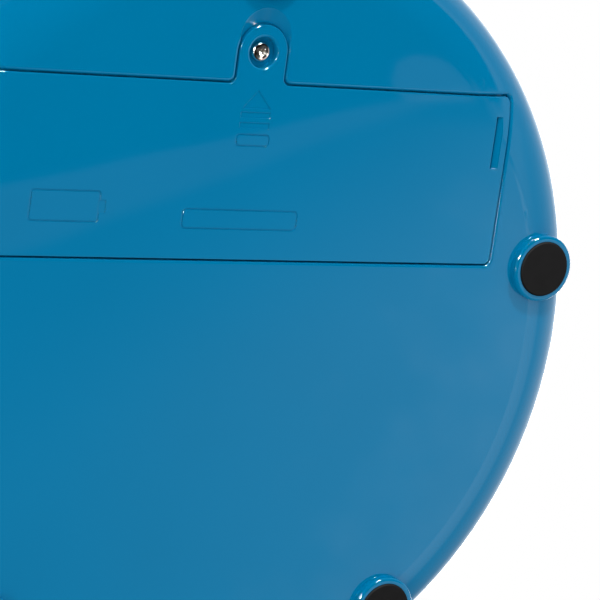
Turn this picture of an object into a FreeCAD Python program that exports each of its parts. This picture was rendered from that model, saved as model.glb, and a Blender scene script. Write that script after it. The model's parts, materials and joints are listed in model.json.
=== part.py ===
import FreeCAD, Part
import math
import os

from FreeCAD import Vector

# Digital bathroom scale, 300 mm across. Everything is in millimetres.
# Frame: +Z up, the origin on the floor under the disc's centre, the display on the +Y side and the
# battery door's screw tab on the -Y side of the underside.
# Heights below are measured from a datum SET_DOWN under the floor. The finished solids are lowered
# by it at the end, so that the pads stand on z = 0.

# ---- overall ----
SET_DOWN = 2.2
BODY_R = 150.0          # largest radius of the body
BOTTOM_Z = 6.0          # the flat underside, 3.8 above the floor
FLAT_R = 126.0          # the underside is flat out to here, then rounds up to the rim
WIDEST_Z = 27.0         # height at which the body is widest
RIM_TOP_Z = 28.5        # top edge of the base shell
WALL = 2.6              # wall of the base shell
FLOOR_Z = BOTTOM_Z + WALL
TOP_Z = 42.0            # standing surface
FLOAT_GAP = 1.3         # gap the platform floats above the base shell

# ---- feet ----
FOOT_CIRCLE_R = 130.4
FOOT_ANGLES = (-90.0, -11.8, 52.0, 128.0, 191.8)
FOOT_RING_R = 12.35
FOOT_RING_Z = 2.9       # lowest point of the ring around each pad
PAD_R = 10.1
PAD_Z = SET_DOWN        # face the scale stands on
PAD_TOP_Z = 5.4

# ---- battery door ----
DOOR_HALF_X = 105.2
DOOR_Y_TAB = -88.6      # long edge on the tab's side
DOOR_Y_HINGE = -27.3    # long edge the door swings about
DOOR_GAP = 0.55
DOOR_CORNER_R = 2.5
DOOR_PLATE_TOP_Z = 8.1
DOOR_EDGE_R = 0.4
OPENING_EDGE_R = 1.0    # rounding of the shell's edge round the door
TAB_HALF_X = 9.3
TAB_TIP_Y = DOOR_Y_TAB - 20.5
TAB_ROOT_R = 2.5
SCOOP_REACH = 5.2       # the finger scoop runs this far out beyond the tab's nose
SCOOP_DEPTH = 2.2
MARK_DEPTH = 0.22
MARK_LINE = 0.55
SCREW_Y = DOOR_Y_TAB - 10.9
POCKET_R = 6.9          # screw pocket on the door's inner side
POCKET_TOP_Z = 12.0
HEAD_Z = 7.3            # outer face of the screw's head
HEAD_R = 3.55
HEAD_SEAT_Z = 9.3
COUNTERBORE_R = 5.4
COUNTERBORE_LIP_R = 0.9
NAIL_GROOVE_X = 99.3    # steep side of the fingernail groove near the door's short edge
NAIL_GROOVE_W = 3.3
NAIL_SLOT_W = 1.15
NAIL_GROOVE_DEPTH = 2.8
NAIL_GROOVE_Y0 = DOOR_Y_TAB + 7.2
NAIL_GROOVE_Y1 = DOOR_Y_TAB + 26.1

# ---- battery bay ----
LEDGE_Z0 = 8.2
LEDGE_Z1 = 10.0
LEDGE_IN = 2.4          # how far the ledge reaches in under the door's edge
CELL_COUNT = 6
CELL_PITCH = 15.6
CELL_R = 7.1
CELL_LEN = 49.2
CELL_Z = 17.6
CELL_SHIFT = 1.0        # each cell sits this far towards its plain contact
TRAY_HALF_X = 48.6
TRAY_Y0 = DOOR_Y_TAB + 2.8
TRAY_Y1 = TRAY_Y0 + 57.0
TRAY_Z0 = 10.4
TRAY_Z1 = 26.4
TRAY_POST_X = 28.0
TRAY_POST_OUT = 6.8       # the tray's screws stand this far outside its long walls
TRAY_EAR_Z = 11.4
LEAF_W = 5.0            # folded leaf spring at each cell's flat end
LEAF_T = 0.4
LEAF_R = 1.55
LEAF_LEG = 6.0
BAY_MID_Y = (TRAY_Y0 + TRAY_Y1) / 2.0

# ---- weighing cells ----
CELL_SPOTS = ((-88.0, 46.0), (88.0, 46.0), (-50.0, -107.0), (50.0, -107.0))
PLATE_X = 28.0
PLATE_Y = 20.0
PLATE_Z0 = 17.0
PLATE_T = 1.6
PLATE_TOP_Z = PLATE_Z0 + PLATE_T
BUTTON_TOP_Z = 20.6
STUD_CAP_Z0 = 20.7

# ---- platform ----
PLATFORM_R = 149.2
PLATE_THICK = 2.8
SKIRT_T = 2.4
PLATFORM_UNDER_Z = TOP_Z - PLATE_THICK
MAT_R = 139.0
MAT_FLOOR_Z = TOP_Z - 1.0
BEZEL_HALF_X = 48.0
BEZEL_Y0 = 54.0
BEZEL_Y1 = 121.0
WINDOW_HALF_X = 39.0
WINDOW_Y0 = 77.0
WINDOW_Y1 = 114.0
KEY_Y = 65.5
KEY_HALF_X = 13.0
KEY_HALF_Y = 5.0
HOOK_ANGLES = (10.0, 80.0, 100.0, 170.0, 232.0, 308.0)

# ---- main board ----
BOARD_Y = 18.0
BOARD_HALF_X = 38.0
BOARD_HALF_Y = 20.0
BOARD_Z0 = 13.0
BOARD_T = 1.6


# ---------------------------------------------------------------- helpers
def box(x0, x1, y0, y1, z0, z1):
    return Part.makeBox(x1 - x0, y1 - y0, z1 - z0, Vector(x0, y0, z0))


def rod(radius, z0, z1, x=0.0, y=0.0):
    return Part.makeCylinder(radius, z1 - z0, Vector(x, y, z0))


def tube(outer, inner, z0, z1, x=0.0, y=0.0):
    return rod(outer, z0, z1, x, y).cut(rod(inner, z0 - 1.0, z1 + 1.0, x, y))


def rod_y(radius, y0, y1, x, z):
    return Part.makeCylinder(radius, y1 - y0, Vector(x, y0, z), Vector(0, 1, 0))


def rounded_box(x0, x1, y0, y1, z0, z1, radius):
    """Upright box with its four vertical edges rounded."""
    solid = box(x0, x1, y0, y1, z0, z1)
    upright = [e for e in solid.Edges if abs(e.Vertexes[0].Z - e.Vertexes[1].Z) > 1e-6]
    return solid.makeFillet(radius, upright)


def prism(points, z0, z1):
    ring = [Vector(x, y, z0) for x, y in points]
    wire = Part.makePolygon(ring + [ring[0]])
    return Part.Face(wire).extrude(Vector(0, 0, z1 - z0))


def fused(solids):
    first = solids[0]
    rest = list(solids[1:])
    return first.fuse(rest).removeSplitter() if rest else first


def turned(shape, degrees):
    """A copy turned about the disc's centre."""
    copy = shape.copy()
    copy.rotate(Vector(0, 0, 0), Vector(0, 0, 1), degrees)
    return copy


def moved(shape, dx, dy, dz=0.0):
    copy = shape.copy()
    copy.translate(Vector(dx, dy, dz))
    return copy


def revolved(edges):
    return Part.Face(Part.Wire(edges)).revolve(Vector(0, 0, 0), Vector(0, 0, 1), 360)


def line(x0, z0, x1, z1):
    return Part.makeLine(Vector(x0, 0, z0), Vector(x1, 0, z1))


def rim_arc(centre_r, centre_z, reach_r, reach_z):
    """Quarter ellipse in the XZ plane, from the widest point down to the flat bottom."""
    centre = Vector(centre_r, 0, centre_z)
    side = Vector(centre_r + reach_r, 0, centre_z)
    low = Vector(centre_r, 0, centre_z - reach_z)
    if reach_r >= reach_z:
        ellipse = Part.Ellipse(side, low, centre)
        return Part.ArcOfEllipse(ellipse, 0.0, math.pi / 2.0).toShape()
    ellipse = Part.Ellipse(low, side, centre)
    return Part.ArcOfEllipse(ellipse, 0.0, math.pi / 2.0).toShape()


def spot(radius, degrees):
    angle = math.radians(degrees)
    return radius * math.cos(angle), radius * math.sin(angle)


# ---------------------------------------------------------------- base shell
def outer_bowl():
    """The solid body outside the base shell, closed flat at the rim."""
    return revolved([
        line(0, BOTTOM_Z, FLAT_R, BOTTOM_Z),
        rim_arc(FLAT_R, WIDEST_Z, BODY_R - FLAT_R, WIDEST_Z - BOTTOM_Z),
        line(BODY_R, WIDEST_Z, BODY_R, RIM_TOP_Z),
        line(BODY_R, RIM_TOP_Z, 0, RIM_TOP_Z),
        line(0, RIM_TOP_Z, 0, BOTTOM_Z),
    ])


def inner_bowl(floor_z, wall):
    """The hollow inside a shell of the given wall."""
    side = BODY_R - wall
    return revolved([
        line(0, floor_z, FLAT_R, floor_z),
        rim_arc(FLAT_R, WIDEST_Z, side - FLAT_R, WIDEST_Z - floor_z),
        line(side, WIDEST_Z, side, RIM_TOP_Z + 5.0),
        line(side, RIM_TOP_Z + 5.0, 0, RIM_TOP_Z + 5.0),
        line(0, RIM_TOP_Z + 5.0, 0, floor_z),
    ])


def door_outline(grow, z0, z1):
    """Prism of the door's outline with its tab, grown by the gap for the opening."""
    half_x = DOOR_HALF_X + grow
    y_tab = DOOR_Y_TAB - grow
    y_hinge = DOOR_Y_HINGE + grow
    tab_x = TAB_HALF_X + grow
    nose_y = TAB_TIP_Y + TAB_HALF_X
    plate = rounded_box(-half_x, half_x, y_tab, y_hinge, z0, z1, DOOR_CORNER_R)
    tab = box(-tab_x, tab_x, nose_y, y_tab + 5.0, z0, z1)
    nose = rod(tab_x, z0, z1, 0, nose_y)
    outline = fused([plate, tab, nose])
    roots = []
    for edge in outline.Edges:
        low, high = edge.Vertexes[0].Point, edge.Vertexes[-1].Point
        upright = abs(low.z - high.z) > 1e-6
        if upright and abs(abs(low.x) - tab_x) < 1e-6 and abs(low.y - y_tab) < 1e-6:
            roots.append(edge)
    return outline.makeFillet(TAB_ROOT_R, roots)


def outside_z(radius):
    """Height of the outer surface at a distance from the disc's centre."""
    if radius <= FLAT_R:
        return BOTTOM_Z
    share = (radius - FLAT_R) / (BODY_R - FLAT_R)
    return WIDEST_Z - (WIDEST_Z - BOTTOM_Z) * math.sqrt(max(0.0, 1.0 - share * share))


def touches_outside(edge):
    """Whether an edge lies in the outer surface of the base."""
    first, last = edge.FirstParameter, edge.LastParameter
    for part_way in (0.0, 0.5, 1.0):
        point = edge.valueAt(first + (last - first) * part_way)
        if abs(point.z - outside_z(math.hypot(point.x, point.y))) > 0.01:
            return False
    return True


def finger_scoop():
    """Sloped scoop in the underside beyond the tab's nose, as wide as the tab's opening."""
    wide = TAB_HALF_X + DOOR_GAP
    outer = Part.makeCircle(wide, Vector(0, TAB_TIP_Y + TAB_HALF_X - SCOOP_REACH, BOTTOM_Z))
    inner = Part.makeCircle(wide - 1.2, Vector(0, TAB_TIP_Y + TAB_HALF_X, BOTTOM_Z + SCOOP_DEPTH))
    return Part.makeLoft([Part.Wire(outer), Part.Wire(inner)], True, True)


def foot_ring(x, y):
    """Raised ring under the shell that holds one rubber pad."""
    ring = rod(FOOT_RING_R, FOOT_RING_Z, WIDEST_Z, x, y)
    lip = [e for e in ring.Edges if abs(e.BoundBox.ZMax - FOOT_RING_Z) < 1e-6]
    return ring.makeFillet(1.1, lip)


def door_ledge():
    """Ledge the door closes against, on three sides of the opening and round its tab."""
    sheet = inner_bowl(LEDGE_Z0, LEDGE_Z0 - BOTTOM_Z).cut(inner_bowl(LEDGE_Z1, LEDGE_Z1 - BOTTOM_Z))
    frame = box(-DOOR_HALF_X - 2.6, DOOR_HALF_X + 2.6, DOOR_Y_TAB - 2.6, DOOR_Y_HINGE - 2.0, 6.0, 20.0)
    frame = frame.cut(box(-DOOR_HALF_X + LEDGE_IN, DOOR_HALF_X - LEDGE_IN, DOOR_Y_TAB + LEDGE_IN, 0.0,
                          5.0, 21.0))
    tab = rounded_box(-TAB_HALF_X - 3.0, TAB_HALF_X + 3.0, TAB_TIP_Y - 3.0, DOOR_Y_TAB, 6.0, 20.0, 8.0)
    return sheet.common(frame.fuse(tab))


def screw_tower():
    """Cup over the door's screw pocket that carries the brass insert."""
    cup = rod(POCKET_R + 2.6, LEDGE_Z0, 24.6, 0, SCREW_Y)
    room = rod(POCKET_R + 0.7, BOTTOM_Z - 1.0, 14.0, 0, SCREW_Y)
    neck = rod(2.4, 13.0, 19.0, 0, SCREW_Y)
    seat = rod(2.9, 18.2, 25.0, 0, SCREW_Y)
    return cup, [room, neck, seat]


def hook_catch(degrees):
    """Shelf on the inner wall that a platform hook sits under."""
    shelf = box(141.0, 147.6, -6.0, 6.0, 20.2, 24.0)
    return turned(shelf, degrees)


def tray_posts():
    """Screw positions of the battery tray, on the shell's floor beside the door's opening."""
    rows = (TRAY_Y0 - TRAY_POST_OUT, TRAY_Y1 + TRAY_POST_OUT)
    return [(sx * TRAY_POST_X, y) for sx in (-1, 1) for y in rows]


def load_cell_holes():
    """Corner screw positions of the four weighing cells."""
    corners = [(sx * 11.0, sy * 6.0) for sx in (-1, 1) for sy in (-1, 1)]
    return [(x + dx, y + dy) for x, y in CELL_SPOTS for dx, dy in corners]


def board_posts():
    return [(sx * 33.0, BOARD_Y + sy * 15.0) for sx in (-1, 1) for sy in (-1, 1)]


def open_bowl():
    """Bare shell with the door's opening, its outer edge rounded, and the finger scoop."""
    bowl = outer_bowl().cut(inner_bowl(FLOOR_Z, WALL))
    bowl = bowl.cut(door_outline(DOOR_GAP, BOTTOM_Z - 4.0, 20.0))
    rim = [e for e in bowl.Edges if touches_outside(e) and e.BoundBox.ZMax < WIDEST_Z - 5.0]
    bowl = bowl.makeFillet(OPENING_EDGE_R, rim)
    return bowl.cut(finger_scoop())


def base_shell():
    bosses = []
    cores = []
    for degrees in FOOT_ANGLES:
        x, y = spot(FOOT_CIRCLE_R, degrees)
        bosses.append(foot_ring(x, y).cut(inner_bowl(FLOOR_Z + 0.6, WALL + 0.6)))
        cores.append(rod(PAD_R + 0.12, FOOT_RING_Z - 1.0, PAD_TOP_Z, x, y))
        cores.append(rod(PAD_R - 0.4, PAD_TOP_Z + 2.2, FLOOR_Z + 4.0, x, y))
    cup, cup_cuts = screw_tower()
    posts = [rod(3.2, FLOOR_Z - 0.5, TRAY_EAR_Z, x, y) for x, y in tray_posts()]
    posts += [rod(3.0, FLOOR_Z - 0.5, BOARD_Z0, x, y) for x, y in board_posts()]
    posts += [rod(2.6, FLOOR_Z - 0.5, 12.0, x, y) for x, y in load_cell_holes()]
    catches = [hook_catch(a).common(outer_bowl()) for a in HOOK_ANGLES]
    ribs = [turned(box(18.0, 118.0, -0.8, 0.8, FLOOR_Z - 0.5, 11.6), a) for a in (30, 60, 120, 150)]
    shell = fused([open_bowl()] + bosses + posts + catches + ribs + [door_ledge(), cup])
    holes = [rod(1.25, FLOOR_Z + 0.6, 20.0, x, y) for x, y in tray_posts() + board_posts()]
    holes += [rod(1.0, FLOOR_Z + 0.6, 20.0, x, y) for x, y in load_cell_holes()]
    inner_x = DOOR_HALF_X - LEDGE_IN
    bay = box(-inner_x, inner_x, DOOR_Y_TAB + LEDGE_IN, DOOR_Y_HINGE + DOOR_GAP,
              LEDGE_Z0 - 1.0, LEDGE_Z1 + 2.0)
    throat = box(-inner_x, inner_x, DOOR_Y_HINGE - 3.0, DOOR_Y_HINGE + DOOR_GAP,
                 BOTTOM_Z, LEDGE_Z1 + 2.0)
    return shell.cut(cores + cup_cuts + holes + [bay, throat])


def foot_pads():
    pads = []
    for degrees in FOOT_ANGLES:
        x, y = spot(FOOT_CIRCLE_R, degrees)
        pad = rod(PAD_R, PAD_Z, PAD_TOP_Z, x, y)
        low = [e for e in pad.Edges if e.BoundBox.ZMax < PAD_Z + 1e-6]
        pads.append(pad.makeFillet(0.45, low))
    return pads


def door_screw_insert():
    body = tube(2.9, 1.83, 18.2, 23.6, 0, SCREW_Y)
    grooves = [tube(3.4, 2.6, z, z + 0.5, 0, SCREW_Y) for z in (19.6, 21.6)]
    return [body.cut(grooves)]


# ---------------------------------------------------------------- battery door
def battery_door():
    skin = outer_bowl().cut(inner_bowl(DOOR_PLATE_TOP_Z, DOOR_PLATE_TOP_Z - BOTTOM_Z))
    plate = skin.common(door_outline(0.0, BOTTOM_Z - 1.0, 20.0))
    rim = [e for e in plate.Edges if touches_outside(e)]
    plate = plate.makeFillet(DOOR_EDGE_R, rim)
    ribs = []
    for x in (-92.0, -76.0, -60.0, 60.0, 76.0):
        ribs.append(box(x - 0.7, x + 0.7, DOOR_Y_TAB + 4.5, DOOR_Y_HINGE - 3.5, 7.6, 10.4))
    for y in (-80.0, -36.0):
        ribs.append(box(-94.0, 94.0, y - 0.7, y + 0.7, 7.6, 9.6))
    tongues = []
    for x in (-88.0, -60.0, 60.0, 88.0):
        arm = box(x - 6.0, x + 6.0, DOOR_Y_HINGE - 2.4, DOOR_Y_HINGE - 0.2, 7.6, 10.5)
        tip = box(x - 6.0, x + 6.0, DOOR_Y_HINGE - 2.4, DOOR_Y_HINGE + 3.6, 9.1, 10.5)
        tongues += [arm, tip]
    pocket = rod(POCKET_R, BOTTOM_Z + 0.6, POCKET_TOP_Z, 0, SCREW_Y)
    groove_back = box(NAIL_GROOVE_X - 1.0, NAIL_GROOVE_X + 2.6, NAIL_GROOVE_Y0 - 1.0,
                      NAIL_GROOVE_Y1 + 1.0, 7.6, 9.7)
    door = fused([plate, pocket, groove_back] + ribs + tongues)
    shank_hole = rod(1.45, HEAD_SEAT_Z - 1.0, POCKET_TOP_Z + 1.0, 0, SCREW_Y)
    return [door.cut([counterbore(), shank_hole, nail_groove()] + door_marks())]


def counterbore():
    """Hole for the screw's head, with a rounded mouth."""
    mouth_r = COUNTERBORE_R + COUNTERBORE_LIP_R
    mouth_z = BOTTOM_Z + COUNTERBORE_LIP_R
    bore = rod(COUNTERBORE_R, BOTTOM_Z - 1.0, HEAD_SEAT_Z, 0, SCREW_Y)
    mouth = rod(mouth_r, BOTTOM_Z - 1.0, mouth_z, 0, SCREW_Y)
    bead = Part.makeTorus(mouth_r, COUNTERBORE_LIP_R, Vector(0, SCREW_Y, mouth_z))
    return fused([bore, mouth.cut(bead)])


def nail_groove():
    """Groove for a fingernail: a narrow deep slot, then a slope back to the surface."""
    slot_x = NAIL_GROOVE_X + NAIL_SLOT_W
    far_x = NAIL_GROOVE_X + NAIL_GROOVE_W
    profile = [
        (NAIL_GROOVE_X, BOTTOM_Z + NAIL_GROOVE_DEPTH),
        (NAIL_GROOVE_X, BOTTOM_Z - 0.4),
        (far_x, BOTTOM_Z - 0.4),
        (far_x, BOTTOM_Z + 0.1),
        (slot_x, BOTTOM_Z + 1.1),
        (slot_x, BOTTOM_Z + NAIL_GROOVE_DEPTH),
    ]
    corners = [Vector(x, NAIL_GROOVE_Y0, z) for x, z in profile]
    face = Part.Face(Part.makePolygon(corners + [corners[0]]))
    return face.extrude(Vector(0, NAIL_GROOVE_Y1 - NAIL_GROOVE_Y0, 0))


def outline_mark(x0, x1, y0, y1, radius):
    """Shallow engraved outline of a rounded rectangle."""
    low, high = BOTTOM_Z - 1.0, BOTTOM_Z + MARK_DEPTH
    outer = rounded_box(x0, x1, y0, y1, low, high, radius)
    inner = rounded_box(x0 + MARK_LINE, x1 - MARK_LINE, y0 + MARK_LINE, y1 - MARK_LINE,
                        low - 1.0, high + 1.0, radius - MARK_LINE / 2.0)
    return outer.cut(inner)


def door_marks():
    """Shallow generic marks: an arrow to the tab over two bars, plain panels and a cell outline."""
    low, high = BOTTOM_Z - 1.0, BOTTOM_Z + MARK_DEPTH
    tip_y = DOOR_Y_TAB + 2.0
    arrow = prism([(0.0, tip_y), (5.6, tip_y + 6.4), (-5.6, tip_y + 6.4)], low, high)
    bars = [box(-5.8, 5.8, tip_y + s, tip_y + s + 2.0, low, high) for s in (7.6, 11.2)]
    panels = [outline_mark(-6.6, 6.6, tip_y + 15.2, tip_y + 19.6, 1.4)]
    panels.append(outline_mark(-23.5, 22.0, -45.0, -37.8, 1.6))
    panels.append(outline_mark(-81.0, -55.0, -50.2, -39.2, 1.2))
    panels.append(box(-55.0, -52.8, -47.0, -42.4, low, high))
    return [arrow] + bars + panels


def battery_foam():
    strip = rounded_box(-45.0, 45.0, BAY_MID_Y - 9.0, BAY_MID_Y + 9.0, DOOR_PLATE_TOP_Z, 10.3, 3.0)
    return [strip]


def door_screw():
    """Pan-head screw with a thin neck, so that it stays in the door when it is undone."""
    head = rod(HEAD_R, HEAD_Z, HEAD_SEAT_Z - 0.05, 0, SCREW_Y)
    face = [e for e in head.Edges if abs(e.BoundBox.ZMax - HEAD_Z) < 1e-6]
    head = head.makeFillet(1.3, face)
    neck = rod(1.25, HEAD_SEAT_Z - 0.3, 18.6, 0, SCREW_Y)
    thread = rod(1.75, 18.4, 22.6, 0, SCREW_Y)
    tip = Part.makeCone(1.75, 0.6, 0.8, Vector(0, SCREW_Y, 22.6), Vector(0, 0, 1))
    screw = fused([head, neck, thread, tip])
    bowl = Part.makeCone(2.6, 0.4, 1.7, Vector(0, 0, HEAD_Z - 0.2), Vector(0, 0, 1))
    wing = box(-2.3, 2.3, -0.5, 0.5, HEAD_Z - 1.0, HEAD_Z + 1.6)
    pit = Part.makeCone(1.3, 0.3, 1.7, Vector(0, 0, HEAD_Z - 0.2), Vector(0, 0, 1))
    recess = fused([turned(wing, turn) for turn in (20.0, 110.0)]).common(bowl).fuse(pit)
    return [screw.cut(moved(recess, 0, SCREW_Y))]


def screw_retaining_washer():
    return [tube(3.2, 1.4, POCKET_TOP_Z, POCKET_TOP_Z + 0.8, 0, SCREW_Y)]


# ---------------------------------------------------------------- batteries
def cell_centres():
    first = -CELL_PITCH * (CELL_COUNT - 1) / 2.0
    return [(first + CELL_PITCH * i, 1 if i % 2 else -1) for i in range(CELL_COUNT)]


def battery_tray():
    block = box(-TRAY_HALF_X, TRAY_HALF_X, TRAY_Y0, TRAY_Y1, TRAY_Z0 + 0.2, TRAY_Z1)
    channels = []
    for x, _ in cell_centres():
        channels.append(rod_y(CELL_R + 0.35, TRAY_Y0 + 1.2, TRAY_Y1 - 1.2, x, CELL_Z))
        channels.append(box(x - 7.2, x + 7.2, TRAY_Y0 + 1.2, TRAY_Y1 - 1.2, TRAY_Z0 - 1.0, CELL_Z))
    ears = []
    for x, y in tray_posts():
        wall_y = TRAY_Y0 + 1.0 if y < BAY_MID_Y else TRAY_Y1 - 1.0
        ears.append(box(x - 4.0, x + 4.0, min(y, wall_y), max(y, wall_y), TRAY_EAR_Z, TRAY_EAR_Z + 2.0))
        ears.append(rod(4.0, TRAY_EAR_Z, TRAY_EAR_Z + 2.0, x, y))
    tray = fused([block] + ears)
    holes = [rod(1.6, 10.0, 15.0, x, y) for x, y in tray_posts()]
    return [tray.cut(channels + holes)]


def battery_cells():
    cells = []
    for x, way in cell_centres():
        y0 = BAY_MID_Y - CELL_LEN / 2.0 - way * CELL_SHIFT
        can = rod_y(CELL_R, y0, y0 + CELL_LEN, x, CELL_Z)
        can = can.makeFillet(0.6, can.Edges)
        if way > 0:
            nub = rod_y(2.7, y0 - 1.3, y0 + 1.0, x, CELL_Z)
        else:
            nub = rod_y(2.7, y0 + CELL_LEN - 1.0, y0 + CELL_LEN + 1.3, x, CELL_Z)
        cells.append(can.fuse(nub).removeSplitter())
    return cells


def battery_springs():
    """Folded leaf springs that press on each cell's flat end."""
    half_w = LEAF_W / 2.0
    bend = rod(LEAF_R, -half_w, half_w).cut(rod(LEAF_R - LEAF_T, -half_w - 1.0, half_w + 1.0))
    bend.rotate(Vector(0, 0, 0), Vector(0, 1, 0), 90.0)
    fold = bend.common(box(-half_w, half_w, -LEAF_R, LEAF_R, -LEAF_R, 0.0))
    legs = [box(-half_w, half_w, y, y + LEAF_T, 0.0, LEAF_LEG) for y in (-LEAF_R, LEAF_R - LEAF_T)]
    leaf = fused([fold] + legs)
    springs = []
    for x, way in cell_centres():
        y = BAY_MID_Y + way * (CELL_LEN / 2.0 - CELL_SHIFT + LEAF_R + 0.1)
        springs.append(moved(leaf, x, y, CELL_Z - LEAF_LEG / 2.0))
    return springs


def battery_contacts():
    """Sprung steel plates that join the cells in a row at both ends of the tray."""
    plates = []
    centres = [x for x, _ in cell_centres()]
    low_wall = TRAY_Y0 + 1.2
    high_wall = TRAY_Y1 - 1.2
    for pair in ((0, 1), (2, 3), (4, 5)):
        x0, x1 = centres[pair[0]], centres[pair[1]]
        plates.append(box(x0 - 5.5, x0 + 5.5, high_wall - 0.4, high_wall, 12.2, 22.0))
        plates.append(box(x1 - 5.5, x1 + 5.5, high_wall - 0.4, high_wall, 12.2, 22.0))
        plates.append(box(x0 - 5.5, x0 + 5.5, low_wall, low_wall + 0.4, 12.2, 22.0))
        plates.append(box(x1 - 5.5, x1 + 5.5, low_wall, low_wall + 0.4, 12.2, 22.0))
    return plates


def screw_at(x, y, seat_z, head_r, shank_r, length):
    head = rod(head_r, seat_z, seat_z + 1.8, x, y)
    top = [e for e in head.Edges if abs(e.BoundBox.ZMin - seat_z - 1.8) < 1e-6]
    head = head.makeFillet(0.8, top)
    screw = head.fuse(rod(shank_r, seat_z - length, seat_z + 0.5, x, y)).removeSplitter()
    wing_a = box(x - 1.4, x + 1.4, y - 0.3, y + 0.3, seat_z + 0.8, seat_z + 3.0)
    wing_b = box(x - 0.3, x + 0.3, y - 1.4, y + 1.4, seat_z + 0.8, seat_z + 3.0)
    return screw.cut([wing_a, wing_b])


def tray_screws():
    return [screw_at(x, y, TRAY_EAR_Z + 2.0, 2.7, 1.2, 4.0) for x, y in tray_posts()]


# ---------------------------------------------------------------- weighing cells
def load_cell_brackets():
    brackets = []
    for x, y in CELL_SPOTS:
        frame = rounded_box(x - 15.0, x + 15.0, y - 11.0, y + 11.0, 12.0, PLATE_Z0, 2.0)
        well = box(x - 9.0, x + 9.0, y - 7.0, y + 7.0, 13.4, PLATE_Z0 + 1.0)
        holes = []
        for sx in (-1, 1):
            for sy in (-1, 1):
                holes.append(rod(1.15, 11.0, 20.0, x + sx * 11.0, y + sy * 6.0))
        brackets.append(frame.cut([well] + holes))
    return brackets


def load_cells():
    """Half-bridge cells: a steel plate with a sprung tongue and a domed loading button."""
    cells = []
    for x, y in CELL_SPOTS:
        plate = rounded_box(x - PLATE_X / 2, x + PLATE_X / 2, y - PLATE_Y / 2, y + PLATE_Y / 2,
                            PLATE_Z0, PLATE_Z0 + PLATE_T, 2.0)
        cuts = [box(x - 7.6, x - 6.4, y - 6.4, y + 6.4, 10.0, 20.0)]
        cuts.append(box(x + 6.4, x + 7.6, y - 6.4, y + 6.4, 10.0, 20.0))
        cuts.append(box(x - 7.6, x + 7.6, y - 6.4, y - 5.2, 10.0, 20.0))
        for sx in (-1, 1):
            for sy in (-1, 1):
                cuts.append(rod(1.15, 10.0, 20.0, x + sx * 11.0, y + sy * 6.0))
        button = rod(3.2, PLATE_Z0 + 0.8, BUTTON_TOP_Z, x, y)
        crown = [e for e in button.Edges if abs(e.BoundBox.ZMin - BUTTON_TOP_Z) < 1e-6]
        button = button.makeFillet(0.9, crown)
        cells.append(plate.cut(cuts).fuse(button).removeSplitter())
    return cells


def strain_gauges():
    patches = []
    for x, y in CELL_SPOTS:
        patches.append(box(x - 3.4, x + 3.4, y + 3.9, y + 6.6, PLATE_TOP_Z, PLATE_TOP_Z + 0.5))
    return patches


def load_cell_screws():
    return [screw_at(x, y, PLATE_TOP_Z, 1.9, 0.9, 7.6) for x, y in load_cell_holes()]


def wire_through(points, radius):
    """Round wire along a smooth path."""
    curve = Part.BSplineCurve()
    curve.interpolate([Vector(*p) for p in points])
    path = Part.Wire(curve.toShape())
    start = curve.value(curve.FirstParameter)
    along = curve.tangent(curve.FirstParameter)[0]
    ring = Part.Wire(Part.makeCircle(radius, start, along))
    return path.makePipeShell([ring], True, True)


def load_cell_wires():
    wires = []
    for x, y in CELL_SPOTS:
        side = 1 if x > 0 else -1
        end_x = side * 36.0
        end_y = BOARD_Y + (8.0 if y > 0 else -8.0)
        start = (x, y + 6.2, PLATE_TOP_Z + 1.3)
        if y > 0:
            middle = [(side * 82.0, 55.5, 21.5), (side * 72.0, 50.0, 22.6),
                      (side * 60.0, 38.0, 20.0), (side * 50.0, 31.0, 17.5)]
        else:
            middle = [(side * 53.0, -94.0, 23.0), (side * 62.0, -80.0, 24.0),
                      (side * 63.0, -50.0, 24.0), (side * 56.0, -18.0, 20.0)]
        end = (end_x, end_y, BOARD_Z0 + BOARD_T + 1.3)
        wires.append(wire_through([start] + middle + [end], 0.7))
    return wires


# ---------------------------------------------------------------- electronics
def main_board():
    board = rounded_box(-BOARD_HALF_X, BOARD_HALF_X, BOARD_Y - BOARD_HALF_Y, BOARD_Y + BOARD_HALF_Y,
                        BOARD_Z0, BOARD_Z0 + BOARD_T, 2.0)
    return [board.cut([rod(1.6, 10.0, 20.0, x, y) for x, y in board_posts()])]


def main_chip():
    z0 = BOARD_Z0 + BOARD_T
    body = box(-7.0, 7.0, BOARD_Y - 7.0, BOARD_Y + 7.0, z0 + 0.3, z0 + 2.2)
    legs = []
    for i in range(10):
        step = -5.4 + 1.2 * i
        legs.append(box(-8.6, 8.6, BOARD_Y + step - 0.25, BOARD_Y + step + 0.25, z0, z0 + 0.7))
        legs.append(box(step - 0.25, step + 0.25, BOARD_Y - 8.6, BOARD_Y + 8.6, z0, z0 + 0.7))
    return [fused([body] + legs)]


def board_components():
    z0 = BOARD_Z0 + BOARD_T
    parts = [rod(2.5, z0, z0 + 5.5, x, BOARD_Y + 12.0) for x in (-20.0, -12.0)]
    parts.append(rounded_box(14.0, 25.0, BOARD_Y - 14.0, BOARD_Y - 9.6, z0, z0 + 3.4, 2.0))
    parts.append(box(-26.0, -22.0, BOARD_Y - 6.0, BOARD_Y + 2.0, z0, z0 + 1.6))
    for i in range(6):
        x = 13.0 + 2.8 * i
        parts.append(box(x, x + 1.6, BOARD_Y + 2.0, BOARD_Y + 2.9, z0, z0 + 0.8))
    return parts


def ribbon_connector():
    z0 = BOARD_Z0 + BOARD_T
    shell = box(-4.0, 20.0, BOARD_Y + 12.2, BOARD_Y + 16.6, z0, z0 + 3.6)
    slot = box(-2.6, 18.6, BOARD_Y + 14.0, BOARD_Y + 15.0, z0 + 1.2, z0 + 5.0)
    return [shell.cut(slot)]


def board_screws():
    return [screw_at(x, y, BOARD_Z0 + BOARD_T, 2.7, 1.2, 5.2) for x, y in board_posts()]


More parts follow.
